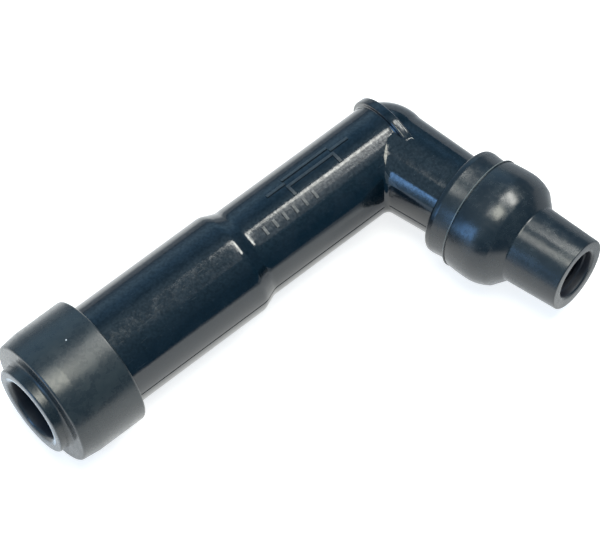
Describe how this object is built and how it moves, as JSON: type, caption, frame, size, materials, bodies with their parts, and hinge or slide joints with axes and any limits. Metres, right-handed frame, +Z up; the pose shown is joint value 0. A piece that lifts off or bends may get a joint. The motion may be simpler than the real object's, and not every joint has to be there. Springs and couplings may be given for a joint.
{
  "type": "spark plug cap",
  "caption": "Angled spark plug cap: a black phenolic elbow with a resistor inside, a rubber drum boot over the plug and a rubber nozzle boot for the ignition lead.",
  "frame": {"origin": "middle of the footprint, on the surface that the cap lies on", "axes": "+X from the plug's mouth towards the elbow, along the long limb; +Z up; the short limb points towards -Y"},
  "size_m": [0.0816, 0.0472, 0.0214],
  "materials": {
    "phenolic": "polished moulding, lightly scuffed",
    "rubber": "satin",
    "brass": "turned",
    "spring_steel": "drawn wire",
    "ceramic": "fired, unglazed"
  },
  "bodies": {
    "root": {"housing": "phenolic", "plug_boot": "rubber", "lead_boot": "rubber", "plug_terminal": "brass", "snap_clip": "spring_steel", "contact_spring": "spring_steel", "resistor_rod": "ceramic", "resistor_cap_rear": "brass", "resistor_cap_front": "brass", "contact_disc": "brass", "lead_screw": "brass"}
  },
  "joints": []
}
